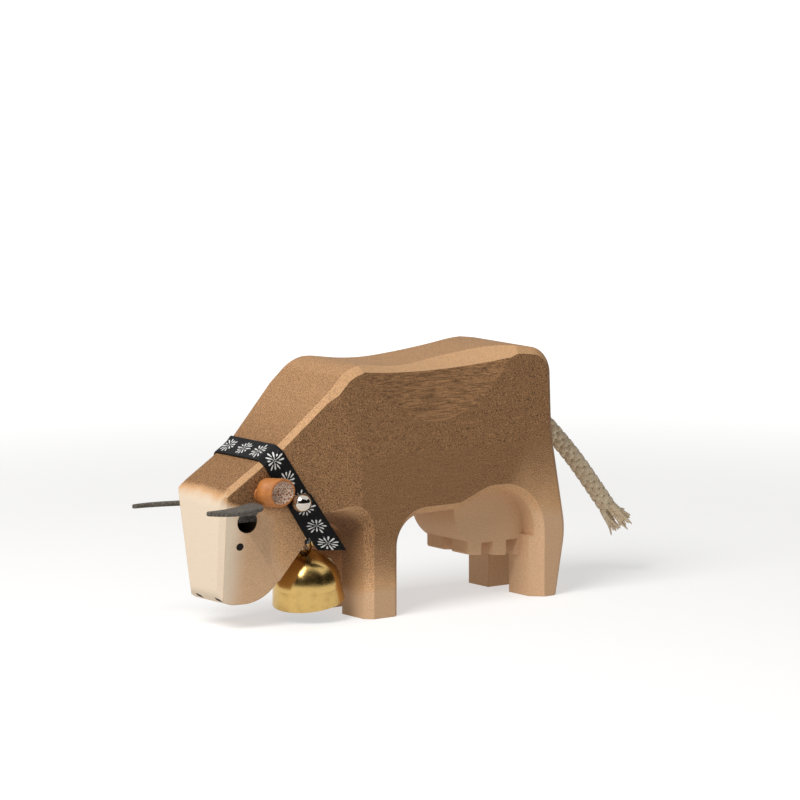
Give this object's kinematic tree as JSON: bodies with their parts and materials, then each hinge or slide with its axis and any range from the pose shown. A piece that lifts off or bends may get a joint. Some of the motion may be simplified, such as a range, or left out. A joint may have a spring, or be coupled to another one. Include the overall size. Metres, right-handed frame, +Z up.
{
  "type": "carved wooden cow figurine",
  "caption": "Carved wooden cow standing with lowered head, with leather horns and ears, a ribbon collar, a small brass bell that rings and a braided cord tail.",
  "frame": {"origin": "on the ground under the middle of the length from the horn tips to the hocks, on the middle plane", "axes": "+X from head to tail, +Y to the cow's right side, +Z up"},
  "size_m": [0.1588, 0.0408, 0.0701],
  "materials": {
    "wood": "matt stained hardwood, brown on the flanks fading to pale wood on face, feet and udder",
    "horn_leather": "matt dark grey leather",
    "ear_leather": "tan leather, pale inside",
    "ribbon": "black woven ribbon with white flowers",
    "stud_steel": "polished",
    "bell_brass": "polished brass",
    "clapper_wire": "plain drawn wire",
    "tail_cord": "braided natural fibre"
  },
  "bodies": {
    "cow": {"wooden_body": "wood", "left_horn": "horn_leather", "right_horn": "horn_leather", "left_ear": "ear_leather", "right_ear": "ear_leather", "collar_ribbon": "ribbon", "collar_stud": "stud_steel", "tail_root": "tail_cord"},
    "bell": {"bell_shell": "bell_brass", "bell_loop": "bell_brass", "clapper_staple": "clapper_wire"},
    "clapper": {"clapper_rod": "clapper_wire", "clapper_ball": "bell_brass"},
    "tail": {"tail_cord": "tail_cord", "tail_tassel": "tail_cord"}
  },
  "joints": [
    {"name": "bell_swing", "type": "hinge", "parent": "cow", "child": "bell", "pos_m": [-0.02189, -0.0062, 0.02144], "axis": [1, 0, 0], "range_deg": [-20, 20]},
    {"name": "clapper_swing", "type": "hinge", "parent": "bell", "child": "clapper", "pos_m": [-0.02095, -0.0058, 0.01584], "axis": [0.9863, -0.0117, 0.1646], "range_deg": [-40, 40]},
    {"name": "tail_swing", "type": "hinge", "parent": "cow", "child": "tail", "pos_m": [0.05942, 0, 0.05139], "axis": [0, 0, 1], "range_deg": [-25, 25], "stiffness_Nm_per_rad": 0.0005}
  ]
}
